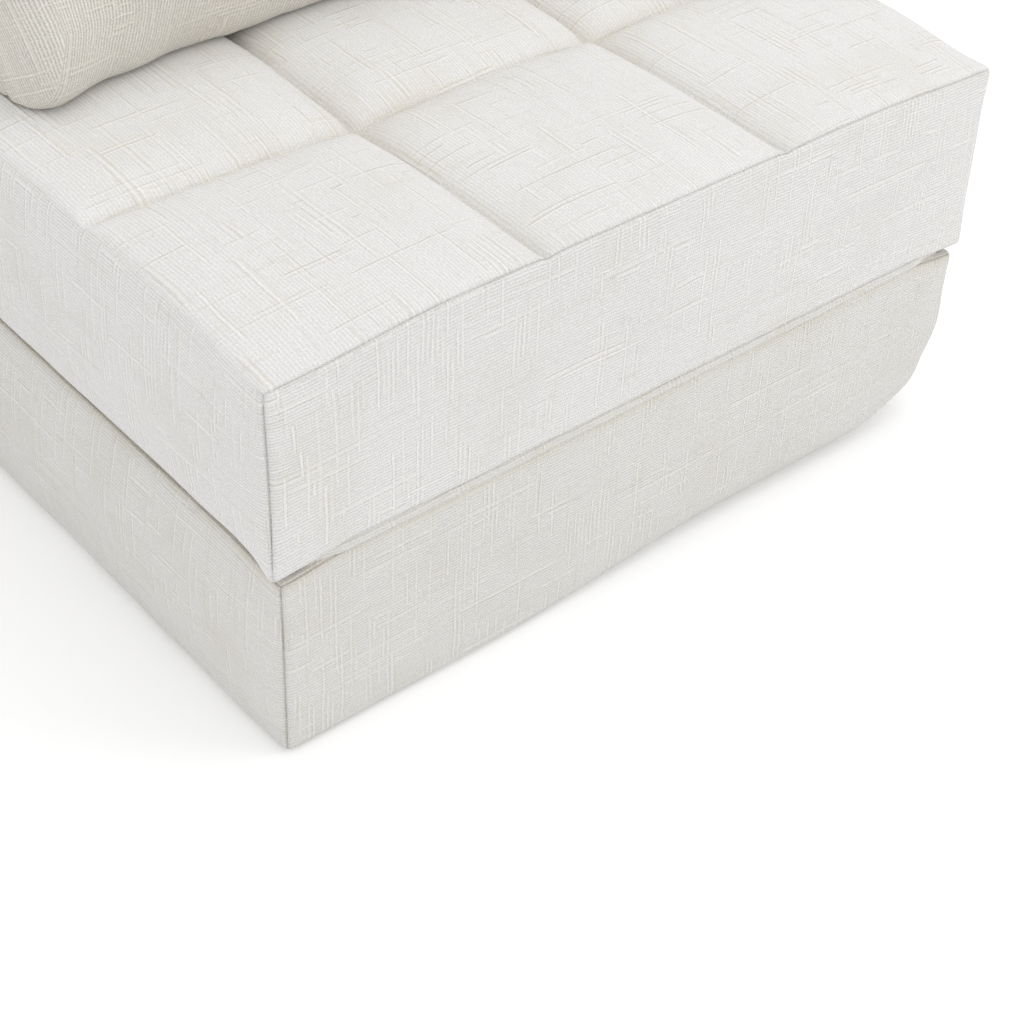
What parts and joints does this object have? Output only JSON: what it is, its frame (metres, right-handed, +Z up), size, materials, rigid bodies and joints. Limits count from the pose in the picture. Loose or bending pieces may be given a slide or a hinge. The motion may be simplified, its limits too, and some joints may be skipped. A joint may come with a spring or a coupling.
{
  "type": "folding sofa bed",
  "caption": "Single folding sofa bed: a plain foam base block, a tufted seat that flips forward, a hinged backrest and a loose back cushion, all in ribbed chenille.",
  "frame": {"origin": "centre of the whole object's box, on the floor", "axes": "+X to the right as seen from the front, +Y from the front to the back along the longest side, +Z up"},
  "size_m": [0.7994, 0.952, 0.7863],
  "materials": {
    "seat_chenille": "matte",
    "base_chenille": "matte",
    "cushion_chenille": "matte",
    "bottom_cloth": "matte",
    "foam": "matte",
    "fibre_fill": "matte",
    "hinge_cloth": "matte",
    "zip_cloth": "matte",
    "zip_metal": "satin",
    "cord": "matte",
    "washer_plastic": "satin"
  },
  "bodies": {
    "base": {"base_cover": "base_chenille", "base_bottom_panel": "bottom_cloth", "base_foam": "foam", "base_zip": "zip_cloth", "base_seat_hinge_tape": "hinge_cloth", "base_back_hinge_tape": "hinge_cloth"},
    "base_slider": {"base_zip_slider": "zip_metal"},
    "base_pull": {"base_zip_pull": "zip_metal"},
    "seat": {"seat_cover": "seat_chenille", "seat_bottom_panel": "seat_chenille", "seat_support_foam": "foam", "seat_comfort_foam": "foam", "tuft_cords": "cord", "tuft_washers": "washer_plastic", "seat_zip": "zip_cloth", "seat_hinge_tape": "hinge_cloth"},
    "seat_slider": {"seat_zip_slider": "zip_metal"},
    "seat_pull": {"seat_zip_pull": "zip_metal"},
    "backrest": {"backrest_cover": "base_chenille", "backrest_bottom_panel": "base_chenille", "backrest_foam": "foam", "backrest_zip": "zip_cloth", "backrest_hinge_tape": "hinge_cloth"},
    "backrest_slider": {"backrest_zip_slider": "zip_metal"},
    "backrest_pull": {"backrest_zip_pull": "zip_metal"},
    "cushion": {"cushion_cover": "cushion_chenille", "cushion_fill": "fibre_fill", "cushion_zip": "zip_cloth"},
    "cushion_slider": {"cushion_zip_slider": "zip_metal"},
    "cushion_pull": {"cushion_zip_pull": "zip_metal"}
  },
  "joints": [
    {"name": "seat_flip", "type": "hinge", "parent": "base", "child": "seat", "pos_m": [0, -0.4764, 0.2], "axis": [1, 0, 0], "range_deg": [0, 180]},
    {"name": "back_recline", "type": "hinge", "parent": "base", "child": "backrest", "pos_m": [0, 0.4764, 0.2], "axis": [-1, 0, 0], "range_deg": [0, 112]},
    {"name": "cushion_lift", "type": "slide", "parent": "seat", "child": "cushion", "axis": [0, 0, 1], "range_m": [0, 0.45]},
    {"name": "base_zip_slide", "type": "slide", "parent": "base", "child": "base_slider", "axis": [0, -1, 0], "range_m": [0, 0.5]},
    {"name": "base_pull_swing", "type": "hinge", "parent": "base_slider", "child": "base_pull", "pos_m": [0.3966, 0.2502, 0.048], "axis": [0, 0, 1], "range_deg": [0, 170]},
    {"name": "seat_zip_slide", "type": "slide", "parent": "seat", "child": "seat_slider", "axis": [0, -1, 0], "range_m": [0, 0.5]},
    {"name": "seat_pull_swing", "type": "hinge", "parent": "seat_slider", "child": "seat_pull", "pos_m": [0.3966, 0.1082, 0.248], "axis": [0, 0, 1], "range_deg": [0, 170]},
    {"name": "backrest_zip_slide", "type": "slide", "parent": "backrest", "child": "backrest_slider", "axis": [1, 0, 0], "range_m": [0, 0.5]},
    {"name": "backrest_pull_swing", "type": "hinge", "parent": "backrest_slider", "child": "backrest_pull", "pos_m": [-0.2502, 0.4726, 0.248], "axis": [0, 0, 1], "range_deg": [0, 170]},
    {"name": "cushion_zip_slide", "type": "slide", "parent": "cushion", "child": "cushion_slider", "axis": [0, 0.4695, 0.8829], "range_m": [0, 0.21]},
    {"name": "cushion_pull_swing", "type": "hinge", "parent": "cushion_slider", "child": "cushion_pull", "pos_m": [0.3486, 0.03938, 0.49724], "axis": [0, -0.8829, 0.4695], "range_deg": [0, 170]}
  ]
}
